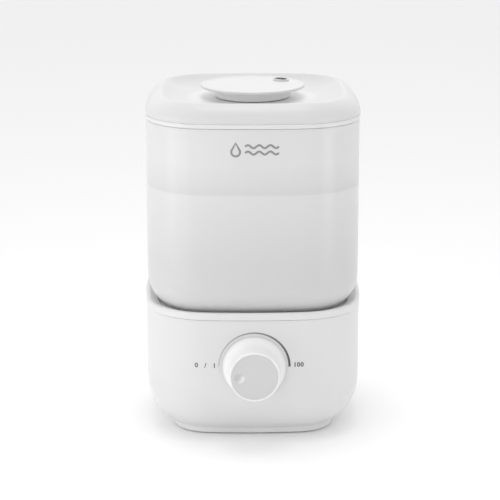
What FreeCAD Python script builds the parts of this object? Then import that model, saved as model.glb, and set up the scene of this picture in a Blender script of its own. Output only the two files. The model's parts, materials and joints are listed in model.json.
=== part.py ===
import FreeCAD, Part
import math
import os
import types

import Sketcher

# Cool mist humidifier: a water tank with a top-fill lid, standing in a base that holds
# the basin, the ultrasonic mist maker, the fan and the dial.
# Frame: millimetres, +Z up, -Y is the front with the dial, the origin is the centre of
# the footprint on the surface that the object stands on.

os.makedirs("parts", exist_ok=True)
doc = FreeCAD.newDocument("cool_mist_humidifier")

SIZES = {
    # Rounded-square plan that every storey shares
    "body_half": 80.4,
    "side_radius": 378.4,
    "corner_radius": 47.0,
    # Base shell
    "shell_wall": 2.6,
    "belly_radius": 38.0,
    "shell_bottom": 5.5,
    "shell_top": 93.4,
    # Shadow line between one storey and the next
    "seam_gap": 0.4,
    # Bottom cover and foot ring
    "cover_inset": 19.0,
    "opening_radius": 58.5,
    "foot_height": 1.0,
    "cover_screw_place": 46.0,
    # Basin tray
    "rim_top": 99.0,
    "ledge": 92.5,
    "well_floor": 62.0,
    "well_inset": 20.5,
    "tray_wall": 2.5,
    "tower_top": 88.0,
    # Underside of the mist maker's seat
    "mist_plate": 55.0,
    # Tank
    "tank_inset": 1.1,
    "tank_wall": 2.4,
    "tank_top": 234.1,
    "tank_edge_radius": 24.5,
    # Collar and lid
    "collar_top": 237.8,
    "collar_inset": 0.4,
    "lid_inset": 0.3,
    "lid_crown": 252.0,
    "lid_shoulder": 18.0,
    "dish_floor": 244.2,
    # Mist tube
    "tube_radius": 20.0,
    "tube_wall": 2.2,
    "tube_bottom": 80.0,
    "tube_top": 229.0,
    # Nozzle
    "nozzle_radius": 38.6,
    "nozzle_top": 253.8,
    "neck_radius": 27.8,
    "neck_gap": 0.5,
    # Mist outlet: a slot along the disc's edge, in a low lip
    "outlet_x": 21.8,
    "outlet_y": 18.6,
    "outlet_top": 254.5,
    # Dial
    "dial_height": 58.5,
    "dial_radius": 18.4,
    "dial_flare": 23.1,
    "dial_length": 24.0,
    # Flat inside the front wall that the potentiometer is clamped to
    "dial_seat": 76.8,
    # Power socket at the back
    "jack_height": 46.0,
    # Fan
    "fan_place": 36.0,
    "fan_half": 20.0,
    "fan_floor": 14.0,
    "fan_depth": 12.0,
    # Driver board
    "board_height": 16.0,
    "board_place": -24.0,
    # Float valve
    "valve_place_x": 42.0,
    "valve_place_y": 18.0,
    "lever_height": 82.0,
    "lever_pivot_y": 2.0,
    "float_place_x": -40.0,
    "float_place_y": -22.0,
    # Fasteners
    "screw_radius": 1.5,
    "head_radius": 2.8,
}

SHEET_NAME = "Sizes"
RUN_CLEARANCE = 0.05


def make_sheet():
    """Driving dimensions, one row each, with the name as the cell's alias."""
    sheet = doc.addObject("Spreadsheet::Sheet", SHEET_NAME)
    for row, (name, value) in enumerate(SIZES.items(), start=1):
        sheet.set(f"A{row}", name)
        sheet.set(f"B{row}", str(value))
        sheet.setAlias(f"B{row}", name)
    doc.recompute()


class Size:
    """A length worked out from the sheet: its value now, and the formula that binds it."""

    def __init__(self, value, formula):
        self.value = value
        self.formula = formula

    @staticmethod
    def of(number):
        return number if isinstance(number, Size) else Size(number, f"({number:.6f})")

    def __add__(self, other):
        other = Size.of(other)
        return Size(self.value + other.value, f"({self.formula} + {other.formula})")

    def __sub__(self, other):
        other = Size.of(other)
        return Size(self.value - other.value, f"({self.formula} - {other.formula})")

    def __mul__(self, other):
        other = Size.of(other)
        return Size(self.value * other.value, f"({self.formula} * {other.formula})")

    def __truediv__(self, other):
        other = Size.of(other)
        return Size(self.value / other.value, f"({self.formula} / {other.formula})")

    def __radd__(self, other):
        return Size.of(other) + self

    def __rsub__(self, other):
        return Size.of(other) - self

    def __rmul__(self, other):
        return Size.of(other) * self

    def __neg__(self):
        return Size.of(0) - self


d = types.SimpleNamespace(
    **{name: Size(value, f"{SHEET_NAME}.{name}") for name, value in SIZES.items()}
)
make_sheet()
bodies = {}


def bind(thing, path, value):
    """Ties one property of a document object to its formula, or sets a plain number."""
    if isinstance(value, Size):
        thing.setExpression(path, value.formula)
    elif "." in path:
        thing.setExpression(path, f"{value:.6f}")
    else:
        setattr(thing, path, value)


def new_body(label, x=0, y=0, z=0, tilt_about_x=0):
    """A sub-part, named after its node, with its place bound to the sheet."""
    body = doc.addObject("PartDesign::Body", label)
    body.Label = label
    body.AllowCompound = True
    if tilt_about_x:
        turn = FreeCAD.Rotation(FreeCAD.Vector(1, 0, 0), tilt_about_x)
        body.Placement = FreeCAD.Placement(FreeCAD.Vector(0, 0, 0), turn)
    for axis, value in (("x", x), ("y", y), ("z", z)):
        if isinstance(value, Size) or value:
            bind(body, f"Placement.Base.{axis}", value)
    bodies[label] = body
    return body


def origin_part(body, role):
    return next(item for item in body.Origin.OriginFeatures if item.Role == role)


class Outline:
    """A fully constrained sketch on one of the body's own origin planes.

    On XY_Plane the outline's axes are X and Y and it faces +Z; on XZ_Plane they are X and Z
    and it faces -Y; on YZ_Plane they are Y and Z and it faces +X. "at" is the plane's place
    along X, Y or Z.
    """

    def __init__(self, body, name, plane="XY_Plane", at=0):
        self.sketch = body.newObject("Sketcher::SketchObject", f"{body.Label}_{name}")
        self.sketch.AttachmentSupport = [(origin_part(body, plane), "")]
        self.sketch.MapMode = "FlatFace"
        shift = -Size.of(at) if plane == "XZ_Plane" else Size.of(at)
        bind(self.sketch, "AttachmentOffset.Base.z", shift)

    def hold(self, kind, *where):
        """Adds a constraint; a last argument that is a size becomes its bound datum."""
        if isinstance(where[-1], (Size, float)):
            size = Size.of(where[-1])
            number = self.sketch.addConstraint(Sketcher.Constraint(kind, *where[:-1], size.value))
            self.sketch.setExpression(f"Constraints[{number}]", size.formula)
        else:
            self.sketch.addConstraint(Sketcher.Constraint(kind, *where))

    def place(self, edge, end, x, y):
        """Fixes one point of an edge at (x, y), using the axes where a coordinate is zero."""
        for kind, axis, value in (("DistanceX", -2, Size.of(x)), ("DistanceY", -1, Size.of(y))):
            if abs(value.value) < 1e-9:
                self.hold("PointOnObject", edge, end, axis)
            else:
                self.hold(kind, -1, 1, edge, end, value)

    def circle(self, radius, x=0, y=0):
        centre = FreeCAD.Vector(Size.of(x).value, Size.of(y).value, 0)
        round_edge = Part.Circle(centre, FreeCAD.Vector(0, 0, 1), Size.of(radius).value)
        edge = self.sketch.addGeometry(round_edge, False)
        self.place(edge, 3, x, y)
        self.hold("Radius", edge, Size.of(radius))
        return self

    def polygon(self, *points):
        """Closed outline of (x, y) corners; (x, y, bulge) makes the run to the next corner an
        arc whose middle stands that far to the right of the straight way."""
        corners = [FreeCAD.Vector(Size.of(p[0]).value, Size.of(p[1]).value, 0) for p in points]
        first = self.sketch.GeometryCount
        count = len(points)
        ends = []
        for index, point in enumerate(points):
            start = corners[index]
            finish = corners[(index + 1) % count]
            if len(point) == 2:
                self.sketch.addGeometry(Part.LineSegment(start, finish), False)
                ends.append((1, 2))
            else:
                ends.append(self.arc_run(start, finish, point[2]))
        for index in range(count):
            after = (index + 1) % count
            self.hold("Coincident", first + index, ends[index][1], first + after, ends[after][0])
        for index, point in enumerate(points):
            self.place(first + index, ends[index][0], point[0], point[1])
            if len(point) == 3:
                chord = (corners[(index + 1) % count] - corners[index]).Length
                bulge = abs(point[2])
                self.hold("Radius", first + index, (chord ** 2 / 4 + bulge ** 2) / (2 * bulge))
        return self

    def arc_run(self, start, finish, bulge):
        """Adds one arc and says which of its two ends comes first on the outline."""
        way = finish - start
        right = FreeCAD.Vector(way.y, -way.x, 0).normalize()
        middle = (start + finish) / 2 + right * bulge
        self.sketch.addGeometry(Part.ArcOfCircle(start, middle, finish), False)
        return (1, 2) if bulge > 0 else (2, 1)

    def rectangle(self, x0, y0, x1, y1):
        return self.polygon((x0, y0), (x1, y0), (x1, y1), (x0, y1))

    def rounded_square(self, inset):
        """Plan outline: four shallow side arcs and four corner arcs, set in by "inset"."""
        half = d.body_half - inset
        side = d.side_radius - inset
        corner = d.corner_radius - inset
        gap = side.value - corner.value
        lean = math.acos((side.value - half.value) / gap / math.sqrt(2)) - math.pi / 4
        facing = FreeCAD.Vector(0, 0, 1)
        first = self.sketch.GeometryCount
        for quarter in range(4):
            angle = quarter * math.pi / 2
            outward = FreeCAD.Vector(math.cos(angle), math.sin(angle), 0)
            flat = Part.Circle(outward * (half.value - side.value), facing, side.value)
            self.sketch.addGeometry(Part.ArcOfCircle(flat, angle - lean, angle + lean), False)
            diagonal = angle + math.pi / 4
            outward = FreeCAD.Vector(math.cos(diagonal), math.sin(diagonal), 0)
            turn = Part.Circle(outward * gap * math.sin(lean) * math.sqrt(2), facing, corner.value)
            start = angle + lean
            finish = start + math.pi / 2 - 2 * lean
            self.sketch.addGeometry(Part.ArcOfCircle(turn, start, finish), False)
        for edge in range(8):
            self.hold("Tangent", first + edge, 2, first + (edge + 1) % 8, 1)
        setback = side - half
        quarters = ((-1, "DistanceX", -1), (-2, "DistanceY", -1),
                    (-1, "DistanceX", 1), (-2, "DistanceY", 1))
        for quarter, (axis, kind, sign) in enumerate(quarters):
            flat_edge = first + 2 * quarter
            self.hold("PointOnObject", flat_edge, 3, axis)
            self.hold(kind, -1, 1, flat_edge, 3, sign * setback)
            self.hold("Radius", flat_edge, side)
            self.hold("Radius", flat_edge + 1, corner)
        return self


def feature(body, kind, outline, **values):
    """A sketch-based feature of the body, with its sizes bound."""
    name = f"{outline.sketch.Name}_{kind.lower()}"
    item = body.newObject(f"PartDesign::{kind}", name)
    item.Profile = outline.sketch
    for path, value in values.items():
        bind(item, path, value)
    doc.recompute()
    return item


def pad(body, outline, length, back=False):
    return feature(body, "Pad", outline, Length=length, Reversed=back)


def pocket(body, outline, depth, back=False):
    return feature(body, "Pocket", outline, Length=depth, Reversed=back)


def revolve(body, outline):
    axis = (outline.sketch, ["V_Axis"])
    return feature(body, "Revolution", outline, ReferenceAxis=axis, Angle=360.0)


def groove(body, outline):
    axis = (outline.sketch, ["V_Axis"])
    return feature(body, "Groove", outline, ReferenceAxis=axis, Angle=360.0)


def edges_at(item, height, low=0.0, high=1e6):
    """Names of the edges that lie flat at a height and between two distances from the axis."""
    level = Size.of(height).value
    names = []
    for number, edge in enumerate(item.Shape.Edges, start=1):
        box = edge.BoundBox
        centre = edge.valueAt((edge.FirstParameter + edge.LastParameter) / 2)
        reach = math.hypot(centre.x, centre.y)
        if abs(box.ZMin - level) < 1e-4 and abs(box.ZMax - level) < 1e-4 and low <= reach <= high:
            names.append(f"Edge{number}")
    return names


def round_edges(body, item, names, radius):
    fillet = body.newObject("PartDesign::Fillet", f"{body.Label}_fillet")
    fillet.Base = (item, names)
    bind(fillet, "Radius", radius)
    doc.recompute()
    return fillet


def bevel_edges(body, item, names, size):
    chamfer = body.newObject("PartDesign::Chamfer", f"{body.Label}_chamfer")
    chamfer.Base = (item, names)
    bind(chamfer, "Size", size)
    doc.recompute()
    return chamfer


def hollow_out(body, item, height, wall):
    """Shells the solid inwards, leaving it open at its flat face at a height."""
    level = Size.of(height).value
    faces = []
    for number, face in enumerate(item.Shape.Faces, start=1):
        box = face.BoundBox
        if abs(box.ZMin - level) < 1e-4 and abs(box.ZMax - level) < 1e-4:
            faces.append(f"Face{number}")
    shell = body.newObject("PartDesign::Thickness", f"{body.Label}_wall")
    shell.Base = (item, faces)
    shell.Reversed = True
    bind(shell, "Value", wall)
    doc.recompute()
    return shell


def around(body, items, count):
    """Repeats features evenly about the body's Z axis."""
    pattern = body.newObject("PartDesign::PolarPattern", f"{body.Label}_around")
    pattern.Originals = items
    pattern.Axis = (origin_part(body, "Z_Axis"), [""])
    pattern.Angle = 360.0
    pattern.Occurrences = count
    body.Tip = pattern
    doc.recompute()
    return pattern


def along(body, items, axis, length, count):
    """Repeats features in a straight row."""
    pattern = body.newObject("PartDesign::LinearPattern", f"{body.Label}_row")
    pattern.Originals = items
    pattern.Direction = (origin_part(body, axis), [""])
    bind(pattern, "Length", length)
    pattern.Occurrences = count
    body.Tip = pattern
    doc.recompute()
    return pattern


def cut_with(body, tool):
    """Takes the shape of a tool body away."""
    cut = body.newObject("PartDesign::Boolean", f"{body.Label}_cut")
    cut.Type = "Cut"
    cut.setObjects([tool])
    doc.recompute()
    return cut


def pill(outline, x, y, length, width):
    """A slot-shaped loop, rounded at both ends, along the outline's first axis."""
    x, y, length, width = (Size.of(value) for value in (x, y, length, width))
    run = (length - width) / 2
    radius = width / 2
    sketch = outline.sketch
    first = sketch.GeometryCount
    right = FreeCAD.Vector((x + run).value, y.value, 0)
    left = FreeCAD.Vector((x - run).value, y.value, 0)
    up = FreeCAD.Vector(0, radius.value, 0)
    facing = FreeCAD.Vector(0, 0, 1)
    quarter = math.pi / 2
    right_end = Part.Circle(right, facing, radius.value)
    left_end = Part.Circle(left, facing, radius.value)
    sketch.addGeometry(Part.ArcOfCircle(right_end, -quarter, quarter), False)
    sketch.addGeometry(Part.LineSegment(right + up, left + up), False)
    sketch.addGeometry(Part.ArcOfCircle(left_end, quarter, 3 * quarter), False)
    sketch.addGeometry(Part.LineSegment(left - up, right - up), False)
    for edge in range(4):
        outline.hold("Tangent", first + edge, 2, first + (edge + 1) % 4, 1)
    outline.place(first, 3, x + run, y)
    outline.place(first + 2, 3, x - run, y)
    outline.hold("Radius", first, radius)
    return outline


def corners(reach_x, reach_y, centre_y=0):
    """The four places at plus and minus each reach about a centre."""
    return [(reach_x, centre_y + reach_y), (-reach_x, centre_y + reach_y),
            (-reach_x, centre_y - reach_y), (reach_x, centre_y - reach_y)]


def discs(body, name, at, places, radius):
    """One outline with an equal circle at each place."""
    outline = Outline(body, name, at=at)
    for x, y in places:
        outline.circle(radius, x, y)
    return outline


# ---- Base: shell, tray, bottom ----

def base_shell():
    body = new_body("base_shell")
    item = pad(body, Outline(body, "plan").rounded_square(0), d.shell_top)
    item = round_edges(body, item, edges_at(item, 0), d.belly_radius)
    item = pocket(body, Outline(body, "trim", at=d.shell_bottom).circle(2 * d.body_half), 20.0)
    hollow_out(body, item, d.shell_top, d.shell_wall)
    floor_top = d.shell_bottom + d.shell_wall
    pocket(body, Outline(body, "opening", at=floor_top).circle(d.opening_radius), 20.0)
    places = corners(d.cover_screw_place, d.cover_screw_place)
    pad(body, discs(body, "posts", floor_top, places, 3.8), 16.0)
    pocket(body, discs(body, "pilots", d.shell_bottom, places, d.screw_radius), 14.0, back=True)
    dial_boss = Outline(body, "dial_boss", "XZ_Plane", at=-d.dial_seat)
    pad(body, dial_boss.circle(10.0, 0, d.dial_height), 2.0)
    dial_hole = Outline(body, "dial_hole", "XZ_Plane", at=-d.body_half - 1.0)
    pocket(body, dial_hole.circle(3.6, 0, d.dial_height), 10.0)
    boss = Outline(body, "jack_boss", "XZ_Plane", at=d.body_half - 1.0)
    pad(body, boss.circle(10.0, 0, d.jack_height), 5.0)
    recess = Outline(body, "jack_recess", "XZ_Plane", at=d.body_half + 1.0)
    pocket(body, recess.circle(7.0, 0, d.jack_height), 3.0, back=True)
    bore = Outline(body, "jack_bore", "XZ_Plane", at=d.body_half + 1.0)
    pocket(body, bore.circle(4.05, 0, d.jack_height), 12.0, back=True)


def basin_tray():
    body = new_body("basin_tray")
    rim_bottom = d.shell_top + d.seam_gap
    pad(body, Outline(body, "rim", at=rim_bottom).rounded_square(-0.5), d.rim_top - rim_bottom)
    pad(body, Outline(body, "seam", at=d.shell_top).rounded_square(1.0), d.seam_gap)
    lip_bottom = d.ledge - d.tray_wall
    lip = Outline(body, "lip", at=lip_bottom).rounded_square(d.shell_wall + 0.3)
    pad(body, lip, d.shell_top - lip_bottom)
    well_bottom = d.well_floor - d.tray_wall
    well = Outline(body, "well", at=well_bottom).rounded_square(d.well_inset - d.tray_wall)
    item = pad(body, well, lip_bottom - well_bottom)
    item = round_edges(body, item, edges_at(item, well_bottom), 8.0)
    pad(body, Outline(body, "boss", at=d.mist_plate).circle(18.0), well_bottom - d.mist_plate)
    seat = Outline(body, "seat", at=d.rim_top).rounded_square(8.0)
    item = pocket(body, seat, d.rim_top - d.ledge)
    round_edges(body, item, edges_at(item, d.ledge, low=70.0), 3.0)
    funnel = body.newObject("PartDesign::SubtractiveLoft", "basin_tray_funnel")
    funnel.Profile = Outline(body, "funnel_mouth", at=d.rim_top).rounded_square(2.2).sketch
    funnel.Sections = [Outline(body, "funnel_foot", at=d.rim_top - 1.9).rounded_square(8.0).sketch]
    funnel.Ruled = True
    doc.recompute()
    item = pocket(body, Outline(body, "basin", at=d.ledge).rounded_square(d.well_inset),
                  d.ledge - d.well_floor)
    item = round_edges(body, item, edges_at(item, d.well_floor), 5.5)
    item = round_edges(body, item, edges_at(item, d.rim_top), 1.2)
    pocket(body, Outline(body, "disc_seat", at=d.mist_plate).circle(13.0), 5.0, back=True)
    pocket(body, Outline(body, "disc_window", at=d.rim_top).circle(8.8), 60.0)
    tower = Outline(body, "tower", at=well_bottom).circle(11.0, 0, d.fan_place)
    pad(body, tower, d.tower_top - well_bottom)
    pocket(body, Outline(body, "tower_bore", at=d.rim_top).circle(9.2, 0, d.fan_place), 60.0)
    post = Outline(body, "float_post", at=d.well_floor - 1.0)
    pad(body, post.circle(2.4, d.float_place_x, d.float_place_y), 21.0)
    ears = Outline(body, "lever_ears", at=d.well_floor - 1.0)
    for side in (-1, 1):
        inner = d.valve_place_x + side * 3.2
        outer = d.valve_place_x + side * 5.4
        ears.rectangle(inner, d.lever_pivot_y - 3.5, outer, d.lever_pivot_y + 3.5)
    pad(body, ears, d.lever_height + 3.5 - d.well_floor + 1.0)
    bearing = Outline(body, "lever_bearing", "YZ_Plane", at=d.valve_place_x - 8.0)
    bearing.circle(1.2 + RUN_CLEARANCE, d.lever_pivot_y, d.lever_height)
    pocket(body, bearing, 16.0, back=True)


def bottom_cover():
    body = new_body("bottom_cover")
    plan = Outline(body, "plan", at=d.foot_height).rounded_square(d.cover_inset)
    item = pad(body, plan, d.shell_bottom - d.foot_height)
    item = round_edges(body, item, edges_at(item, d.foot_height), 1.0)
    spigot = Outline(body, "spigot", at=d.shell_bottom).circle(d.opening_radius - 0.3)
    pad(body, spigot, 1.6)
    fan_places = corners(d.fan_half - 4.0, d.fan_half - 4.0, d.fan_place)
    fan_posts = discs(body, "fan_posts", d.shell_bottom, fan_places, 3.0)
    pad(body, fan_posts, d.fan_floor - d.shell_bottom)
    board_places = corners(31.0, 17.0, d.board_place)
    pad(body, discs(body, "board_posts", d.shell_bottom, board_places, 2.8),
        d.board_height - d.shell_bottom)
    top = d.board_height + 1.0
    pocket(body, discs(body, "fan_pilots", top, fan_places, 1.3), 9.0)
    pocket(body, discs(body, "board_pilots", top, board_places, 1.1), 9.0)
    places = corners(d.cover_screw_place, d.cover_screw_place)
    pocket(body, discs(body, "screw_holes", 20.0, places, d.screw_radius + 0.1), 20.0)
    screw_heads = discs(body, "screw_heads", d.foot_height, places, d.head_radius + 0.3)
    pocket(body, screw_heads, 2.0, back=True)
    slot = pill(Outline(body, "intake", at=20.0), 0, d.fan_place - 14.0, 30.0, 2.4)
    item = pocket(body, slot, 20.0)
    along(body, [item], "Y_Axis", 24.0, 6)


def foot_ring():
    body = new_body("foot_ring")
    ring = Outline(body, "ring").rounded_square(33.0)
    pad(body, ring.rounded_square(39.0), d.foot_height)
    notch = Outline(body, "air_notch", at=10.0)
    pocket(body, notch.rectangle(-24.0, 40.0, 24.0, 70.0), 20.0)


def screw_set(label, places, head_bottom, length, radius, head_radius, head_height, down=True):
    """Equal cross-head screws; the head's seat is at head_bottom and the shank points down."""
    body = new_body(label)
    pad(body, discs(body, "shanks", head_bottom, places, radius), length, back=down)
    pad(body, discs(body, "heads", head_bottom, places, head_radius), head_height, back=not down)
    face = head_bottom + head_height if down else head_bottom - head_height
    for turn, (wide, deep) in enumerate(((0.72, 0.16), (0.16, 0.72))):
        cross = Outline(body, f"cross_{turn}", at=face)
        for x, y in places:
            cross.rectangle(x - wide * head_radius, y - deep * head_radius,
                            x + wide * head_radius, y + deep * head_radius)
        pocket(body, cross, 0.6 * head_height, back=not down)


def base_screws():
    screw_set("cover_screws", corners(d.cover_screw_place, d.cover_screw_place),
              d.foot_height + 2.0, 14.0, d.screw_radius, d.head_radius, 1.6, down=False)
    screw_set("fan_screws", corners(d.fan_half - 4.0, d.fan_half - 4.0, d.fan_place),
              d.fan_floor + d.fan_depth + 2.0, 19.0, 1.3, 2.4, 1.4)
    screw_set("board_screws", corners(31.0, 17.0, d.board_place),
              d.board_height + 1.6, 7.0, 1.1, 2.1, 1.2)


# ---- Base: mist maker ----

def mist_maker():
    seat = d.mist_plate + 5.0
    body = new_body("transducer_seal")
    revolve(body, Outline(body, "section", "XZ_Plane").polygon(
        (8.8, seat - 2.8), (12.9, seat - 2.8), (12.9, seat), (8.8, seat),
        (8.8, seat - 0.8), (10.2, seat - 0.8), (10.2, seat - 2.0), (8.8, seat - 2.0)))
    body = new_body("transducer_disc")
    disc = Outline(body, "disc", at=seat - 2.0).circle(10.15)
    pad(body, disc, 1.2)
    pad(body, Outline(body, "electrode", at=seat - 2.0).circle(4.0), 0.2, back=True)
    body = new_body("transducer_retainer")
    plate = Outline(body, "plate", at=d.mist_plate).circle(17.6).circle(7.5)
    pad(body, plate, 1.0, back=True)
    lip = Outline(body, "lip", at=d.mist_plate).circle(12.8).circle(10.6)
    pad(body, lip, 2.2)
    hole = pocket(body, Outline(body, "hole", at=d.mist_plate + 4.0).circle(1.25, 0, -15.4), 10.0)
    around(body, [hole], 3)


def transducer_screws():
    body = new_body("transducer_screws")
    under = d.mist_plate - 1.0
    shank = pad(body, Outline(body, "shank", at=under).circle(1.2, 0, -15.4), 1.0)
    head = pad(body, Outline(body, "head", at=under).circle(2.1, 0, -15.4), 1.3, back=True)
    slot = Outline(body, "slot", at=under - 1.3).rectangle(-1.5, -15.7, 1.5, -15.1)
    cut = pocket(body, slot, 0.7, back=True)
    around(body, [shank, head, cut], 3)


# ---- Base: fan and duct ----

def fan():
    top = d.fan_floor + d.fan_depth
    body = new_body("fan_housing", y=d.fan_place)
    pad(body, Outline(body, "frame", at=d.fan_floor).rectangle(
        -d.fan_half, -d.fan_half, d.fan_half, d.fan_half), d.fan_depth)
    pocket(body, Outline(body, "bore", at=top).circle(18.2), 2 * d.fan_depth)
    reach = d.fan_half - 4.0
    pocket(body, discs(body, "corner_holes", top, corners(reach, reach), 1.4), 2 * d.fan_depth)
    strut = pad(body, Outline(body, "strut", at=top).rectangle(0, -1.0, 18.9, 1.0), 1.6, back=True)
    around(body, [strut], 3)
    pad(body, Outline(body, "hub", at=top).circle(7.0), 1.6, back=True)
    pad(body, Outline(body, "stator", at=top - 1.6).circle(4.6), 5.0, back=True)
    body = new_body("fan_impeller", y=d.fan_place)
    revolve(body, Outline(body, "hub", "XZ_Plane").polygon(
        (0, d.fan_floor + 1.2), (6.2, d.fan_floor + 1.2), (6.9, d.fan_floor + 2.0),
        (6.9, top - 2.2), (5.2, top - 2.2), (5.2, d.fan_floor + 3.0), (0, d.fan_floor + 3.0)))
    low = d.fan_floor + 2.2
    high = top - 2.6
    blade = Outline(body, "blade", "YZ_Plane", at=6.4).polygon(
        (-4.6, low), (-3.2, low), (4.6, high), (3.2, high))
    around(body, [pad(body, blade, 11.0)], 7)


def air_duct():
    body = new_body("air_duct", y=d.fan_place)
    foot = d.fan_floor + d.fan_depth
    well_bottom = d.well_floor - d.tray_wall
    pad(body, Outline(body, "flange", at=foot).rectangle(
        -d.fan_half, -d.fan_half, d.fan_half, d.fan_half), 2.0)
    revolve(body, Outline(body, "cone", "XZ_Plane").polygon(
        (0, foot), (19.0, foot), (19.0, foot + 2.0), (10.9, well_bottom - 4.0),
        (10.9, well_bottom), (0, well_bottom)))
    groove(body, Outline(body, "passage", "XZ_Plane").polygon(
        (0, foot), (17.6, foot), (17.6, foot + 2.0), (9.2, well_bottom - 4.0),
        (9.2, well_bottom), (0, well_bottom)))
    reach = d.fan_half - 4.0
    pocket(body, discs(body, "corner_holes", foot + 2.0, corners(reach, reach), 1.4), 10.0)


# ---- Base: electrics ----

def driver_board():
    low = d.board_place - 22.0
    high = d.board_place + 22.0
    body = new_body("driver_board")
    pad(body, Outline(body, "plan", at=d.board_height).rectangle(-36.0, low, 36.0, high), 1.6)
    places = corners(31.0, 17.0, d.board_place)
    pocket(body, discs(body, "holes", d.board_height + 1.6, places, 1.2), 3.0)
    top = d.board_height + 1.6
    body = new_body("board_parts")
    pad(body, Outline(body, "chip", at=top).rectangle(
        -8.0, d.board_place - 5.0, 4.0, d.board_place + 5.0), 2.4)
    pad(body, Outline(body, "large_cans", at=top).circle(5.0, -20.0, d.board_place + 8.0).circle(
        5.0, -20.0, d.board_place - 6.0), 13.0)
    pad(body, Outline(body, "small_cans", at=top).circle(3.2, -8.0, d.board_place + 14.0).circle(
        3.2, 1.0, d.board_place + 14.0), 8.0)
    pad(body, Outline(body, "coil", at=top).circle(5.0, 8.0, d.board_place - 9.5).circle(
        1.8, 8.0, d.board_place - 9.5), 7.0)
    sockets = Outline(body, "sockets", at=top)
    for centre in (-16.0, 0.0, 16.0):
        sockets.rectangle(centre - 4.0, low + 2.0, centre + 4.0, low + 7.0)
    pad(body, sockets, 6.0)
    body = new_body("heat_sink")
    place = d.board_place + 6.0
    block = Outline(body, "section", "XZ_Plane", at=place + 11.0)
    points = [(12.0, top), (28.0, top)]
    for fin in range(5):
        edge = 28.0 - fin * 3.5
        points += [(edge, top + 14.0), (edge - 2.0, top + 14.0)]
        if fin < 4:
            points += [(edge - 2.0, top + 3.0), (edge - 3.5, top + 3.0)]
    pad(body, block.polygon(*points), 22.0)


def sockets_and_dial_switch():
    body = new_body("dial_potentiometer")
    back = Outline(body, "can", "XZ_Plane", at=9.0 - d.dial_seat)
    pad(body, back.circle(8.4, 0, d.dial_height), 9.0)
    bush = Outline(body, "bush", "XZ_Plane", at=-d.dial_seat)
    pad(body, bush.circle(3.5, 0, d.dial_height), 8.0)
    bore = Outline(body, "bore", "XZ_Plane", at=-d.body_half - 8.0)
    pocket(body, bore.circle(3.0 + RUN_CLEARANCE, 0, d.dial_height), 14.0)
    tags = Outline(body, "tags", "XZ_Plane", at=11.0 - d.dial_seat)
    for x in (-5.0, 0.0, 5.0):
        tags.rectangle(x - 0.8, d.dial_height - 13.0, x + 0.8, d.dial_height - 6.0)
    pad(body, tags, 4.0)
    body = new_body("dial_nut")
    nut = Outline(body, "nut", "XZ_Plane", at=-d.body_half)
    pad(body, hexagon(nut, 5.0, 0, d.dial_height).circle(3.55, 0, d.dial_height), 2.2)
    body = new_body("power_jack")
    face = d.body_half - 2.0
    flange = Outline(body, "flange", "XZ_Plane", at=face + 1.5)
    pad(body, flange.circle(5.8, 0, d.jack_height), 1.5)
    barrel = Outline(body, "barrel", "XZ_Plane", at=face)
    pad(body, barrel.circle(4.0, 0, d.jack_height), 13.0)
    socket = Outline(body, "socket", "XZ_Plane", at=face + 3.0)
    ring = socket.circle(2.75, 0, d.jack_height).circle(1.0, 0, d.jack_height)
    pocket(body, ring, 12.0, back=True)
    body = new_body("jack_nut")
    nut = Outline(body, "nut", "XZ_Plane", at=d.body_half - 6.0)
    pad(body, hexagon(nut, 6.4, 0, d.jack_height).circle(4.05, 0, d.jack_height), 2.4)
    body = new_body("reed_switch")
    under = d.well_floor - d.tray_wall
    plan = Outline(body, "plan", at=under)
    pad(body, plan.rectangle(d.float_place_x - 4.0, d.float_place_y - 8.0,
                             d.float_place_x + 4.0, d.float_place_y + 8.0), 4.0, back=True)


def hexagon(outline, across, x, y):
    """A six-sided loop, given its half width across flats."""
    points = []
    for side in range(6):
        angle = math.radians(60 * side)
        reach = 2 * across / math.sqrt(3)
        points.append((x + reach * math.cos(angle), y + reach * math.sin(angle)))
    return outline.polygon(*points)


# ---- Floats and valve ----

def floats():
    body = new_body("level_float", d.float_place_x, d.float_place_y, d.well_floor + 2.3)
    item = revolve(body, Outline(body, "section", "XZ_Plane").polygon(
        (2.9, 0), (9.0, 0), (9.0, 11.0), (2.9, 11.0),
        (2.9, 2.4), (5.2, 2.4), (5.2, 1.0), (2.9, 1.0)))
    round_edges(body, item, edges_at(item, 0, low=8.0) + edges_at(item, 11.0, low=8.0), 1.2)
    body = new_body("float_magnet", d.float_place_x, d.float_place_y, d.well_floor + 3.3)
    pad(body, Outline(body, "ring").circle(5.2).circle(3.0), 1.4)
    body = new_body("float_clip", d.float_place_x, d.float_place_y, d.well_floor + 18.0)
    pad(body, Outline(body, "ring").circle(4.6).circle(2.4), 1.4)
    pocket(body, Outline(body, "gap", at=5.0).rectangle(1.0, -1.2, 6.0, 1.2), 10.0)


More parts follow.
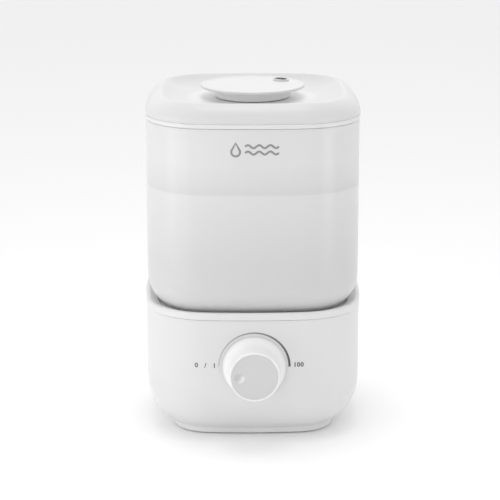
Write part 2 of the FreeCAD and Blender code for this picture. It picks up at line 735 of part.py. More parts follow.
def float_lever():
    body = new_body("float_lever")
    pivot = d.lever_pivot_y
    level = d.lever_height
    side = Outline(body, "side", "YZ_Plane", at=d.valve_place_x - 2.8)
    pad(body, side.polygon(
        (pivot - 38.0, level - 1.5), (pivot + 13.5, level - 1.5), (pivot + 18.5, level - 0.5),
        (pivot + 18.5, level + 2.0), (pivot + 13.5, level + 2.0), (pivot + 10.0, level + 1.5),
        (pivot + 3.0, level + 2.6), (pivot - 3.0, level + 2.6), (pivot - 6.0, level + 1.5),
        (pivot - 38.0, level + 1.5)), 5.6)
    hole = Outline(body, "hole", "YZ_Plane", at=d.valve_place_x - 6.0)
    pocket(body, hole.circle(1.2, pivot, level), 12.0, back=True)
    body = new_body("lever_pin")
    pin = Outline(body, "pin", "YZ_Plane", at=d.valve_place_x - 5.8)
    pad(body, pin.circle(1.2, pivot, level), 11.6)
    body = new_body("valve_float")
    low = level - 13.5
    plan = Outline(body, "plan", at=low)
    item = pad(body, plan.rectangle(d.valve_place_x - 10.5, pivot - 39.0,
                                    d.valve_place_x + 10.5, pivot - 17.0), 12.0)
    round_edges(body, item, edges_at(item, low), 1.5)


def valve():
    x, y = d.valve_place_x, d.valve_place_y
    floor_top = d.ledge + d.tank_wall
    body = new_body("valve_housing", x, y, floor_top)
    revolve(body, Outline(body, "section", "XZ_Plane").polygon(
        (4.2, -6.4), (8.9, -6.4), (8.9, 0), (12.4, 0), (12.4, 2.0), (8.9, 2.0), (8.9, 11.5),
        (1.75, 11.5), (1.75, 9.5), (7.0, 9.5), (7.0, -4.4), (4.2, -4.4)))
    window = Outline(body, "window", at=8.5).rectangle(-2.2, 4.0, 2.2, 10.0)
    around(body, [pocket(body, window, 5.5)], 4)
    body = new_body("valve_plunger", x, y, floor_top)
    revolve(body, Outline(body, "section", "XZ_Plane").polygon(
        (0, d.lever_height + 2.3 - floor_top), (1.6, d.lever_height + 2.3 - floor_top),
        (1.6, -3.7), (6.2, -3.7), (6.2, -2.1), (1.6, -2.1), (1.6, 13.6), (0, 13.6)))
    body = new_body("valve_seal", x, y, floor_top)
    pad(body, Outline(body, "ring", at=-4.4).circle(6.3).circle(1.6), 0.7)
    body = new_body("valve_spring", x, y, floor_top)
    wire = Outline(body, "wire", "XZ_Plane").circle(0.4, 4.0, -1.65)
    coil = body.newObject("PartDesign::AdditiveHelix", "valve_spring_coil")
    coil.Profile = wire.sketch
    coil.ReferenceAxis = (wire.sketch, ["V_Axis"])
    coil.Mode = "pitch-height-angle"
    coil.Pitch = 2.2
    coil.Height = 10.6
    doc.recompute()


# ---- Tank ----

def tank_shell():
    body = new_body("tank_shell")
    height = d.tank_top - d.ledge
    item = pad(body, Outline(body, "plan", at=d.ledge).rounded_square(d.tank_inset), height)
    item = round_edges(body, item, edges_at(item, d.ledge), d.tank_edge_radius)
    hollow_out(body, item, d.tank_top, d.tank_wall)
    holes = Outline(body, "holes", at=d.ledge + 10.0).circle(d.tube_radius + d.tube_wall + 0.1)
    pocket(body, holes.circle(8.95, d.valve_place_x, d.valve_place_y), 20.0)


def tank_collar():
    body = new_body("tank_collar")
    bottom = d.tank_top + d.seam_gap
    band = Outline(body, "band", at=bottom).rounded_square(d.collar_inset)
    item = pad(body, band.rounded_square(6.0), d.collar_top - bottom)
    outer = edges_at(item, bottom, low=77.0) + edges_at(item, d.collar_top, low=77.0)
    round_edges(body, item, outer, 0.7)
    seam = Outline(body, "seam", at=d.tank_top).rounded_square(d.tank_inset + 0.9)
    pad(body, seam.rounded_square(6.0), d.seam_gap)
    skirt = Outline(body, "skirt", at=d.tank_top).rounded_square(d.tank_inset + d.tank_wall + 0.1)
    pad(body, skirt.rounded_square(6.0), 8.0, back=True)


def mist_tube():
    inner = d.tube_radius
    outer = d.tube_radius + d.tube_wall
    floor_top = d.ledge + d.tank_wall
    body = new_body("mist_tube")
    revolve(body, Outline(body, "section", "XZ_Plane").polygon(
        (inner, d.tube_bottom), (outer, d.tube_bottom), (outer, floor_top + 1.2),
        (28.0, floor_top + 1.2), (28.0, floor_top + 3.2), (outer, floor_top + 3.2),
        (outer, d.tube_top), (inner, d.tube_top)))
    body = new_body("tube_gasket")
    pad(body, Outline(body, "ring", at=floor_top).circle(27.4).circle(outer), 1.2)
    body = new_body("tube_nut")
    nut = Outline(body, "ring", at=d.ledge).circle(27.0).circle(outer)
    pad(body, nut, 3.5, back=True)
    notch = Outline(body, "grip", at=d.ledge).circle(1.6, 27.6, 0)
    around(body, [pocket(body, notch, 20.0)], 16)


# ---- Lid ----

def lid_cover():
    tool = new_body("lid_dish")
    item = pad(tool, Outline(tool, "plan", at=d.dish_floor).rounded_square(-3.6), 60.0)
    round_edges(tool, item, edges_at(item, d.dish_floor), 39.0)
    body = new_body("lid_cover")
    foot = d.lid_crown - d.lid_shoulder - 1.0
    plan = Outline(body, "plan", at=foot).rounded_square(d.lid_inset)
    item = pad(body, plan, d.lid_shoulder + 1.0)
    item = round_edges(body, item, edges_at(item, d.lid_crown), d.lid_shoulder)
    bottom = d.collar_top + d.seam_gap
    pocket(body, Outline(body, "trim", at=bottom).circle(2 * d.body_half), 20.0)
    item = cut_with(body, tool)
    crest = []
    for number, edge in enumerate(item.Shape.Edges, start=1):
        if edge.BoundBox.ZMin > d.dish_floor.value + 3.0:
            crest.append(f"Edge{number}")
    round_edges(body, item, crest, 4.0)
    hollow = Outline(body, "hollow", at=bottom).rounded_square(d.lid_inset + 4.0)
    pocket(body, hollow.rounded_square(24.0), 5.4, back=True)
    pocket(body, Outline(body, "neck_hole", at=d.lid_crown).circle(25.2), 30.0)


def lid_liner():
    body = new_body("lid_liner")
    top = d.collar_top + d.seam_gap
    rest = Outline(body, "rest", at=d.collar_top).rounded_square(1.2)
    pad(body, rest.circle(30.0), d.seam_gap)
    plate = Outline(body, "plate", at=d.collar_top).rounded_square(6.5)
    pad(body, plate.circle(30.0), 1.5, back=True)
    skirt = Outline(body, "skirt", at=d.collar_top).rounded_square(6.9)
    pad(body, skirt.rounded_square(9.0), 8.0, back=True)
    guide = Outline(body, "guide", at=top).circle(30.5).circle(28.0)
    pad(body, guide, 9.0, back=True)
    gasket = new_body("lid_gasket")
    seal = Outline(gasket, "ring", at=d.collar_top - 5.5).rounded_square(6.3)
    pad(gasket, seal.rounded_square(6.9), 2.0)


# ---- Nozzle ----

def nozzle():
    top = d.nozzle_top
    outer = d.nozzle_radius
    under = top - 1.9
    skin = d.outlet_top - 0.7
    body = new_body("nozzle_cap")
    revolve(body, Outline(body, "section", "XZ_Plane").polygon(
        (0, under), (outer - 0.9, under, 0.28), (outer, top - 1.5),
        (outer, top - 0.9, 0.28), (outer - 0.9, top), (outer - 1.6, top),
        (outer - 3.4, top - 0.6), (0, top - 0.6)))
    hood = tangent_outline(body, "hood", d.outlet_top)
    item = pad(body, pill(hood, 0, 0, 13.0, 10.8), d.outlet_top - top + 1.2, back=True)
    round_edges(body, item, edges_at(item, d.outlet_top), 0.6)
    cavity = tangent_outline(body, "cavity", under)
    pocket(body, pill(cavity, 0, 0, 11.8, 9.6), skin - under, back=True)
    mouth = tangent_outline(body, "mouth", d.outlet_top)
    pocket(body, pill(mouth, 0, 0, 10.6, 8.4), 6.0)
    seat = d.dish_floor + d.neck_gap
    bore = d.tube_radius + d.tube_wall + 0.6
    body = new_body("nozzle_neck")
    revolve(body, Outline(body, "section", "XZ_Plane").polygon(
        (bore, d.tube_top - 3.0), (24.9, d.tube_top - 3.0), (24.9, seat), (d.neck_radius - 0.5, seat),
        (d.neck_radius, seat + 0.5), (d.neck_radius, under - 1.3), (outer - 4.2, under - 0.5),
        (outer - 4.2, under), (d.neck_radius - 2.2, under), (bore, under - 4.0)))
    body = new_body("nozzle_seal")
    pad(body, Outline(body, "ring", at=d.dish_floor).circle(26.3).circle(25.4), d.neck_gap)


def tangent_outline(body, name, height):
    """An outline at the mist outlet, with its first axis along the disc's edge."""
    outline = Outline(body, name, at=height)
    turn = FreeCAD.Rotation(FreeCAD.Vector(0, 0, 1), -45)
    outline.sketch.AttachmentOffset = FreeCAD.Placement(outline.sketch.AttachmentOffset.Base, turn)
    bind(outline.sketch, "AttachmentOffset.Base.x", d.outlet_x)
    bind(outline.sketch, "AttachmentOffset.Base.y", d.outlet_y)
    return outline


# ---- Dial ----

def dial():
    """The knob and its shaft, drawn along +Z and laid down so that they face the front."""
    face = -d.body_half - 0.3
    length = d.dial_length
    body = new_body("control_knob", 0, face, d.dial_height, tilt_about_x=90)
    revolve(body, Outline(body, "section", "XZ_Plane").polygon(
        (0, 7.0), (8.2, 7.0), (8.2, 0), (d.dial_flare - 0.5, 0), (d.dial_flare, 0.6),
        (d.dial_flare - 0.2, 1.2, -1.35), (d.dial_radius + 0.4, 12.0), (d.dial_radius, length - 0.7, 0.2),
        (d.dial_radius - 0.7, length), (d.dial_radius - 1.2, length),
        (d.dial_radius - 1.6, length - 0.5), (0, length - 0.5)))
    shaft_hole = Outline(body, "shaft_hole")
    pocket(body, shaft_hole.circle(3.0), 17.0, back=True)
    dimple = Outline(body, "dimple", "XZ_Plane", at=-1.0)
    bind(dimple.sketch, "AttachmentOffset.Base.x", -11.0)
    groove(body, dimple.polygon(
        (0, length - 1.9, 0.4), (4.0, length - 0.5), (4.0, length + 1.0), (0, length + 1.0)))
    body = new_body("dial_shaft", 0, face, d.dial_height, tilt_about_x=90)
    item = pad(body, Outline(body, "shaft", at=-5.0).circle(3.0), 22.0)
    bevel_edges(body, item, edges_at(item, 17.0), 0.5)


# ---- Leads ----

def lead(label, points, radius, bend):
    """A lead clipped inside the base: straight runs joined by tangent arcs."""
    ways = [FreeCAD.Vector(*point) for point in points]
    edges = []
    start = ways[0]
    for before, corner, after in zip(ways, ways[1:], ways[2:]):
        back = (before - corner).normalize()
        onward = (after - corner).normalize()
        half_turn = (math.pi - back.getAngle(onward)) / 2
        reach = bend * math.tan(half_turn)
        middle = corner + (back + onward).normalize() * (bend / math.cos(half_turn) - bend)
        entry = corner + back * reach
        leave = corner + onward * reach
        edges.append(Part.LineSegment(start, entry).toShape())
        edges.append(Part.Arc(entry, middle, leave).toShape())
        start = leave
    edges.append(Part.LineSegment(start, ways[-1]).toShape())
    path = Part.Wire(edges)
    section = Part.Wire(Part.Circle(ways[0], ways[1] - ways[0], radius).toShape())
    tube = path.makePipeShell([section], True, False)
    item = doc.addObject("Part::Feature", label)
    item.Label = label
    item.Shape = tube
    bodies[label] = item


def leads():
    board_top = d.board_height.value + 1.6
    socket_top = board_top + 6.0
    socket_y = d.board_place.value - 17.5
    disc_face = d.mist_plate.value + 2.8
    jack_end = d.body_half.value - 15.0
    can_back = 9.0 - d.dial_seat.value
    dial_level = d.dial_height.value
    jack_level = d.jack_height.value
    lead("mist_lead", [(0, 0, disc_face), (0, 0, 38.0), (0, socket_y, 38.0),
                       (0, socket_y, socket_top)],
         1.3, 5.0)
    lead("power_lead", [(0, jack_end, jack_level), (0, jack_end - 8.0, jack_level),
                        (26.0, jack_end - 10.0, jack_level - 4.0), (40.0, 20.0, 38.0),
                        (40.0, socket_y + 10.0, 36.0), (16.0, socket_y, 34.0),
                        (16.0, socket_y, socket_top)],
         1.5, 3.5)
    lead("dial_lead", [(0, can_back, dial_level - 4.0), (0, can_back + 12.0, dial_level - 4.0),
                       (-16.0, can_back + 14.0, 36.0), (-16.0, socket_y, 34.0),
                       (-16.0, socket_y, socket_top)],
         1.3, 4.0)
    fan_side = d.fan_place.value - d.fan_half.value
    lead("fan_lead", [(-12.0, fan_side, d.fan_floor.value + 6.0), (-12.0, fan_side - 8.0, 20.0),
                      (-12.0, fan_side - 12.0, board_top + 1.2)],
         1.1, 3.0)


BUILDERS = (
    base_shell, basin_tray, bottom_cover, foot_ring, base_screws, mist_maker, transducer_screws,
    fan, air_duct, driver_board, sockets_and_dial_switch, floats, float_lever, valve,
    tank_shell, tank_collar, mist_tube, lid_cover, lid_liner, nozzle, dial, leads,
)
TOOL_BODIES = ("lid_dish",)


def check_document():
    """Stops before anything is written if a feature failed or a shape is not sound."""
    for item in doc.Objects:
        if "Invalid" in item.State or "Error" in item.State:
            raise RuntimeError(f"{item.Name} failed: {item.State}")
    for label, item in bodies.items():
        shape = item.Shape
        if shape.isNull() or not shape.isValid() or shape.Volume <= 0:
            raise RuntimeError(f"{label} has no sound shape")


for build in BUILDERS:
    build()
doc.recompute()
check_document()
for label, item in bodies.items():
    if label not in TOOL_BODIES:
        item.Shape.exportStep(f"parts/{label}.step")
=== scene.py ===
import json
import math

import bmesh
import bpy
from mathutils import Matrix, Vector
from mathutils.bvhtree import BVHTree


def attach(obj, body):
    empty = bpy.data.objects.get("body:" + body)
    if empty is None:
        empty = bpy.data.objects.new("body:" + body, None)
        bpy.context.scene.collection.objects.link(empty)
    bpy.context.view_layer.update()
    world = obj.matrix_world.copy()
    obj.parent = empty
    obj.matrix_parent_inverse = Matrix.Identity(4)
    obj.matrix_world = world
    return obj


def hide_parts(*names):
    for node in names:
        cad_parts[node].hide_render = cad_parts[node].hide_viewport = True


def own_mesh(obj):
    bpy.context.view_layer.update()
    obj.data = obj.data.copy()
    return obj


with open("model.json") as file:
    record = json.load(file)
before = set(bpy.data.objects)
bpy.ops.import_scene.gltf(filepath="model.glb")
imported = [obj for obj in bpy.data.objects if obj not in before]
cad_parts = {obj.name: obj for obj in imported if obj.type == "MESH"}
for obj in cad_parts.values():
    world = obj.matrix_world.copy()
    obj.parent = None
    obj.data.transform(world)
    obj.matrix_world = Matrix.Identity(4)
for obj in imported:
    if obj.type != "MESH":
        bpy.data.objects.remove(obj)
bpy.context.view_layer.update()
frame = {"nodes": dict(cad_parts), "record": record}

# Cool mist humidifier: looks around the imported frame. Metres, +Z up, -Y is the front.

MM = 0.001
nodes = frame["nodes"]

# Places on the object that materials and printed marks share
DIAL_HEIGHT = 58.5 * MM
OUTLET = (21.8 * MM, 18.6 * MM, 0.0)
ALONG_XY = (1.0, 1.0, 0.0)
ALONG_XZ = (1.0, 0.0, 1.0)


# ---- Camera, light and floor ----

def aim(thing, target):
    """Points a camera's or a lamp's -Z at a place."""
    way = Vector(target) - thing.location
    thing.rotation_euler = way.to_track_quat("-Z", "Y").to_euler()


def make_camera():
    """A long lens a metre and a half away, a little above the lid and a little to the left."""
    data = bpy.data.cameras.new("camera")
    data.sensor_width = 36.0
    data.lens = 142.0
    data.shift_x = -0.0048
    camera = bpy.data.objects.new("camera", data)
    bpy.context.scene.collection.objects.link(camera)
    distance = 1.4519
    height = 0.49825
    turn = math.radians(0.95)
    pitch = math.radians(14.38)
    camera.location = (-distance * math.sin(turn), -distance * math.cos(turn), height)
    aim(camera, (0, 0, height - distance * math.tan(pitch)))
    bpy.context.scene.camera = camera


def softbox(name, place, target, width, height, power):
    data = bpy.data.lights.new(name, "AREA")
    data.shape = "RECTANGLE"
    data.size = width
    data.size_y = height
    data.energy = power
    lamp = bpy.data.objects.new(name, data)
    bpy.context.scene.collection.objects.link(lamp)
    lamp.location = place
    lamp.visible_camera = False
    aim(lamp, target)


def make_studio():
    scene = bpy.context.scene
    scene.view_settings.view_transform = "Standard"
    world = bpy.data.worlds.new("studio")
    scene.world = world
    world.use_nodes = True
    sky_light(world.node_tree, overhead=0.98, behind=0.98)
    middle = (0, 0, 0.13)
    softbox("top_box", (0.0, -0.02, 1.4), middle, 0.5, 0.5, 2.6)
    softbox("left_strip", (-0.51, -0.21, 0.25), middle, 0.16, 0.5, 0.52)
    softbox("corner_strip", (-0.42, -0.42, 0.22), middle, 0.12, 0.5, 0.38)
    softbox("front_strip", (-0.20, -0.73, 0.27), middle, 0.14, 0.5, 0.40)
    softbox("right_box", (0.62, -1.2, 0.5), middle, 0.3, 0.8, 0.52)
    softbox("right_strip", (0.49, -0.34, 0.25), middle, 0.14, 0.5, 0.48)


def sky_light(tree, overhead, behind):
    """A white surround that is dark at the front horizon and grows overhead and to the back."""
    way = tree.nodes.new("ShaderNodeTexCoord")
    split = tree.nodes.new("ShaderNodeSeparateXYZ")
    tree.links.new(way.outputs["Generated"], split.inputs["Vector"])
    total = tree.nodes.new("ShaderNodeMath")
    total.operation = "ADD"
    for slot, (axis, strength) in enumerate((("Z", overhead), ("Y", behind))):
        level = tree.nodes.new("ShaderNodeMapRange")
        level.inputs["To Max"].default_value = strength
        tree.links.new(split.outputs[axis], level.inputs["Value"])
        tree.links.new(level.outputs["Result"], total.inputs[slot])
    tree.links.new(total.outputs["Value"], tree.nodes["Background"].inputs["Strength"])
    tree.nodes["Background"].inputs["Color"].default_value = (1.0, 1.0, 1.0, 1.0)


def make_floor():
    mesh = bpy.data.meshes.new("floor")
    reach = 30.0
    corners = [(-reach, -reach, 0), (reach, -reach, 0), (reach, reach, 0), (-reach, reach, 0)]
    mesh.from_pydata(corners, [], [(0, 1, 2, 3)])
    floor = bpy.data.objects.new("floor", mesh)
    bpy.context.scene.collection.objects.link(floor)
    paper = bpy.data.materials.new("paper")
    paper.use_nodes = True
    shader = paper.node_tree.nodes["Principled BSDF"]
    shader.inputs["Base Color"].default_value = (0.96, 0.96, 0.96, 1.0)
    shader.inputs["Roughness"].default_value = 0.9
    shader.inputs["Emission Color"].default_value = (1.0, 1.0, 1.0, 1.0)
    shader.inputs["Emission Strength"].default_value = 0.03
    mesh.materials.append(paper)


# ---- Materials ----

def grey(level):
    return (level, level, level, 1.0)


class Surface:
    """A material under construction: a Principled shader and the nodes that feed it."""

    def __init__(self, name, **inputs):
        self.material = bpy.data.materials.new(name)
        self.material.use_nodes = True
        self.tree = self.material.node_tree
        self.shader = self.tree.nodes["Principled BSDF"]
        for socket, value in inputs.items():
            self.shader.inputs[socket.replace("_", " ")].default_value = value
        self.where = self.add("ShaderNodeTexCoord").outputs["Object"]

    def add(self, kind, **values):
        node = self.tree.nodes.new(kind)
        for name, value in values.items():
            if hasattr(node, name):
                setattr(node, name, value)
            else:
                node.inputs[name.replace("_", " ")].default_value = value
        return node

    def join(self, output, target):
        self.tree.links.new(output, target)

    def noise(self, scale, detail=3.0, stretch=None):
        """Noise in the object's own space; stretch scales it per axis."""
        node = self.add("ShaderNodeTexNoise", Scale=scale, Detail=detail)
        if stretch:
            move = self.add("ShaderNodeMapping")
            move.inputs["Scale"].default_value = stretch
            self.join(self.where, move.inputs["Vector"])
            self.join(move.outputs["Vector"], node.inputs["Vector"])
        else:
            self.join(self.where, node.inputs["Vector"])
        return node.outputs["Fac"]

    def spread(self, value, low, high, start=0.3, stop=0.7):
        """Maps a factor onto a range."""
        node = self.add("ShaderNodeMapRange",
                        From_Min=start, From_Max=stop, To_Min=low, To_Max=high)
        self.join(value, node.inputs["Value"])
        return node.outputs["Result"]

    def ramp(self, value, stops):
        node = self.add("ShaderNodeValToRGB")
        row = node.color_ramp.elements
        while len(row) > 1:
            row.remove(row[-1])
        for index, (place, colour) in enumerate(stops):
            item = row[0] if index == 0 else row.new(place)
            item.position = place
            item.color = colour
        self.join(value, node.inputs["Fac"])
        return node.outputs["Color"]

    def apart(self, centre, axes):
        """Distance from a centre, counted only along the axes that are 1."""
        keep = self.add("ShaderNodeVectorMath", operation="MULTIPLY")
        keep.inputs[1].default_value = axes
        self.join(self.where, keep.inputs[0])
        gap = self.add("ShaderNodeVectorMath", operation="DISTANCE")
        gap.inputs[1].default_value = centre
        self.join(keep.outputs["Vector"], gap.inputs[0])
        return gap.outputs["Value"]

    def axes(self):
        """The object-space place, as outputs named X, Y and Z."""
        split = self.add("ShaderNodeSeparateXYZ")
        self.join(self.where, split.inputs["Vector"])
        return split.outputs

    def both(self, first, second):
        node = self.add("ShaderNodeMath", operation="MULTIPLY")
        self.join(first, node.inputs[0])
        self.join(second, node.inputs[1])
        return node.outputs["Value"]

    def between(self, share, value):
        """One where share is 0, and value where it is 1."""
        node = self.add("ShaderNodeMix")
        factor, first, second = node.inputs[0], node.inputs[2], node.inputs[3]
        first.default_value = 1.0
        self.join(share, factor)
        self.join(value, second)
        return node.outputs[0]

    def shade(self, share, low, high):
        """Runs the colour from low to high with share, over faint flow marks."""
        flow = self.spread(self.noise(7.0, 4.0), 0.985, 1.01)
        self.colour(self.both(self.spread(share, low, high, 0.0, 1.0), flow))

    def colour(self, output):
        self.join(output, self.shader.inputs["Base Color"])

    def rough(self, output):
        self.join(output, self.shader.inputs["Roughness"])

    def bump(self, *layers):
        """Layers of (height, strength, distance in metres), the first one underneath."""
        below = None
        for height, strength, distance in layers:
            node = self.add("ShaderNodeBump", Strength=strength, Distance=distance)
            self.join(height, node.inputs["Height"])
            if below:
                self.join(below, node.inputs["Normal"])
            below = node.outputs["Normal"]
        self.join(below, self.shader.inputs["Normal"])


def tint(colour, share):
    return tuple(min(1.0, part * share) for part in colour[:3]) + (1.0,)


def moulded_plastic(name, colour, roughness):
    """Injection-moulded plastic: spark-eroded grain, faint flow marks and uneven gloss."""
    surface = Surface(name, IOR=1.49, Specular_IOR_Level=0.5)
    flow = surface.noise(7.0, 4.0)
    surface.colour(surface.ramp(flow, [(0.3, tint(colour, 0.975)), (0.7, tint(colour, 1.015))]))
    surface.rough(surface.spread(surface.noise(38.0, 5.0), roughness - 0.03, roughness + 0.06))
    waviness = (surface.noise(26.0, 2.0), 0.10, 0.0006)
    grain = (surface.noise(2600.0, 2.0), 0.02, 0.00006)
    surface.bump(waviness, grain)
    return surface


def metal(name, colour, roughness):
    """Plated or rolled metal with fine drawing lines and a few dull patches."""
    surface = Surface(name, Metallic=1.0)
    patch = surface.noise(90.0, 4.0)
    surface.colour(surface.ramp(patch, [(0.3, tint(colour, 0.88)), (0.7, tint(colour, 1.06))]))
    surface.rough(surface.spread(surface.noise(160.0, 5.0), roughness - 0.08, roughness + 0.12))
    surface.bump((surface.noise(900.0, 3.0, (1.0, 1.0, 9.0)), 0.12, 0.00005))
    return surface.material


def tray_painted_light(surface):
    """Painted light: the tray's inside, below the rim's slope, is painted whiter than its outside,
    lifting the shade that falls in the deep gap round the tank.
    """
    place = surface.axes()
    roundness = 3.4
    total = surface.add("ShaderNodeMath", operation="ADD")
    for slot, axis in enumerate("XY"):
        size = surface.add("ShaderNodeMath", operation="ABSOLUTE")
        power = surface.add("ShaderNodeMath", operation="POWER")
        power.inputs[1].default_value = roundness
        surface.join(place[axis], size.inputs[0])
        surface.join(size.outputs["Value"], power.inputs[0])
        surface.join(power.outputs["Value"], total.inputs[slot])
    inner, outer = 75.0 * MM, 76.5 * MM
    inside = surface.spread(total.outputs["Value"], 1.0, 0.0,
                            inner ** roundness, outer ** roundness)
    deep = surface.spread(place["Z"], 1.0, 0.0, 96.2 * MM, 97.8 * MM)
    # Painted light: whiter where the tray's gap lies in shade.
    surface.shade(surface.both(inside, deep), 0.77, 0.97)


def knob_painted_light(surface):
    """Painted light on the knob: the flat face is painted darker and the flared side lighter,
    brightest midway, where light from above falls on it.
    """
    across = surface.apart((0, 0, DIAL_HEIGHT), ALONG_XZ)
    side = surface.spread(across, 0.0, 1.0, 16.5 * MM, 23.5 * MM)
    # Painted light by radius: a dark face, a thin painted highlight at its edge, and a flare
    # painted brightest midway.
    tone = surface.ramp(side, [
        (0.05, grey(0.65)), (0.08, grey(0.86)), (0.40, grey(0.93)), (0.70, grey(0.92)),
        (0.95, grey(0.80))])
    off_dimple = surface.apart((-11.0 * MM, 0, 57.5 * MM), ALONG_XZ)
    dimple = surface.spread(off_dimple, 1.0, 0.0, 3.4 * MM, 4.0 * MM)
    # Painted shade at the dimple's upper left and a painted highlight at its lower right.
    slant = surface.add("ShaderNodeVectorMath", operation="DOT_PRODUCT")
    slant.inputs[1].default_value = (0.7, 0.0, -0.7)
    surface.join(surface.where, slant.inputs[0])
    dimple_painted_light = surface.spread(slant.outputs["Value"], 0.92, 1.28, -48.6 * MM, -45.6 * MM)
    surface.shade(surface.both(tone, surface.between(dimple, dimple_painted_light)), 0.0, 1.0)


def outlet_painted_shade_and_light(surface):
    """Painted shade and light: the inside of the mist outlet is painted near black, and the neck
    under the disc is painted whiter against the disc's shade.
    """
    near = surface.spread(surface.apart(OUTLET, ALONG_XY), 1.0, 0.0, 5.2 * MM, 5.4 * MM)
    height = surface.axes()["Z"]
    deep = surface.spread(height, 1.0, 0.0, 253.6 * MM, 254.0 * MM)
    # Painted light on the neck, in the disc's shade.
    tone = surface.spread(height, 0.92, 0.74, 251.2 * MM, 252.0 * MM)
    # Painted shade inside the outlet's mouth.
    dark = surface.spread(surface.both(near, deep), 1.0, 0.02, 0.0, 1.0)
    surface.colour(surface.both(tone, dark))


def lid_painted_light(surface):
    """Painted light: the lid's dish is painted whiter under the nozzle than the lid's outside,
    against the shade the disc casts there.
    """
    middle = surface.spread(surface.apart((0, 0, 0), ALONG_XY), 1.0, 0.0, 34.0 * MM, 50.0 * MM)
    surface.shade(middle, 0.725, 0.93)


def silicone(name, colour):
    """Soft matt rubber with a little dust bloom."""
    surface = Surface(name, Specular_IOR_Level=0.35, Subsurface_Weight=0.1,
                      Subsurface_Radius=(1.0, 1.0, 1.0), Subsurface_Scale=0.002)
    bloom = surface.noise(60.0, 6.0)
    surface.colour(surface.ramp(bloom, [(0.3, tint(colour, 0.94)), (0.7, tint(colour, 1.04))]))
    surface.rough(surface.spread(bloom, 0.55, 0.78))
    surface.bump((surface.noise(1500.0, 3.0), 0.15, 0.00008))
    return surface.material


def frosted_tank():
    """Frosted tank wall: the water behind it shows as a tone that changes at the waterline, and the
    lowest band, down in the tray, is painted lighter against the shade there.
    """
    surface = Surface("tank_frosted", IOR=1.49, Specular_IOR_Level=0.5, Subsurface_Weight=0.2,
                      Subsurface_Radius=(1.0, 1.0, 1.0), Subsurface_Scale=0.006)
    height = surface.spread(surface.axes()["Z"], 0.0, 1.0, 92.5 * MM, 234.3 * MM)
    # The two lightest stops at the bottom are painted light in the tray's shaded gap.
    surface.colour(surface.ramp(height, [
        (0.0, grey(0.90)), (0.040, grey(0.82)), (0.10, grey(0.64)), (0.30, grey(0.65)),
        (0.62, grey(0.72)), (0.655, grey(0.725)), (0.665, grey(0.665)), (0.72, grey(0.70)),
        (0.82, grey(0.74)), (1.0, grey(0.74))]))
    surface.rough(surface.spread(surface.noise(30.0, 4.0), 0.285, 0.34))
    waviness = (surface.noise(18.0, 2.0), 0.12, 0.0008)
    frosting = (surface.noise(2200.0, 2.0), 0.08, 0.00006)
    surface.bump(waviness, frosting)
    return surface.material


def circuit_board():
    """Green solder mask over copper tracks."""
    surface = Surface("circuit_board", Coat_Weight=0.4, Coat_Roughness=0.2)
    tracks = surface.add("ShaderNodeTexBrick", Scale=120.0, Mortar_Size=0.03)
    tracks.inputs["Color1"].default_value = (0.015, 0.13, 0.05, 1.0)
    tracks.inputs["Color2"].default_value = (0.02, 0.16, 0.06, 1.0)
    tracks.inputs["Mortar"].default_value = (0.05, 0.28, 0.10, 1.0)
    surface.join(surface.where, tracks.inputs["Vector"])
    surface.colour(tracks.outputs["Color"])
    surface.rough(surface.spread(surface.noise(200.0), 0.3, 0.5))
    surface.bump((tracks.outputs["Fac"], 0.3, 0.00005))
    return surface.material


WHITE = (0.76, 0.76, 0.76)


def make_materials():
    """One finish for each of the record's material slots."""
    plastics = {
        "shell_plastic": (WHITE, 0.32), "tray_plastic": (WHITE, 0.34),
        "cover_plastic": ((0.84, 0.84, 0.835), 0.45),
        "black_plastic": ((0.025, 0.025, 0.028), 0.42),
        "duct_plastic": ((0.75, 0.75, 0.73), 0.5), "float_plastic": ((0.80, 0.81, 0.81), 0.6),
        "magnet": ((0.06, 0.06, 0.065), 0.55), "lever_plastic": ((0.76, 0.77, 0.77), 0.4),
        "collar_plastic": ((0.77, 0.77, 0.77), 0.32), "tube_plastic": ((0.78, 0.79, 0.80), 0.35),
        "lid_plastic": ((0.725, 0.725, 0.725), 0.34), "liner_plastic": ((0.80, 0.80, 0.79), 0.45),
        "nozzle_plastic": ((0.82, 0.82, 0.82), 0.32), "knob_plastic": ((0.72, 0.72, 0.72), 0.33)}
    surfaces = {name: moulded_plastic(name, colour, roughness)
                for name, (colour, roughness) in plastics.items()}
    tray_painted_light(surfaces["tray_plastic"])
    knob_painted_light(surfaces["knob_plastic"])
    outlet_painted_shade_and_light(surfaces["nozzle_plastic"])
    lid_painted_light(surfaces["lid_plastic"])
    materials = {name: surface.material for name, surface in surfaces.items()}
    materials.update({
        "foot_rubber": silicone("foot_rubber", (0.74, 0.74, 0.735)),
        "silicone": silicone("silicone", (0.10, 0.10, 0.103)),
        "screw_steel": metal("screw_steel", (0.60, 0.60, 0.61), 0.32),
        "ceramic": metal("ceramic", (0.78, 0.76, 0.70), 0.35),
        "bracket_metal": metal("bracket_metal", (0.62, 0.62, 0.63), 0.38),
        "heat_metal": metal("heat_metal", (0.74, 0.74, 0.75), 0.42),
        "nut_metal": metal("nut_metal", (0.68, 0.66, 0.62), 0.25),
        "circuit_board": circuit_board(),
        "tank_frosted": frosted_tank(),
        "lead_white": silicone("lead_white", (0.72, 0.72, 0.71)),
        "lead_black": silicone("lead_black", (0.03, 0.03, 0.03))})
    return materials


def dress_nodes(materials):
    """Gives every CAD node the finish of its own slot."""
    for entry in frame["record"]["subparts"]:
        node = nodes[entry["node"]]
        for holder in node.material_slots:
            holder.material = materials[entry["material_slot"]]
        if not node.material_slots:
            node.data.materials.append(materials[entry["material_slot"]])


# ---- Printed marks: thin closed films of ink that lie on the walls ----

INK = 0.06 * MM  # how far a film stands proud of the wall
ROOT = 0.05 * MM  # how far it reaches into the wall


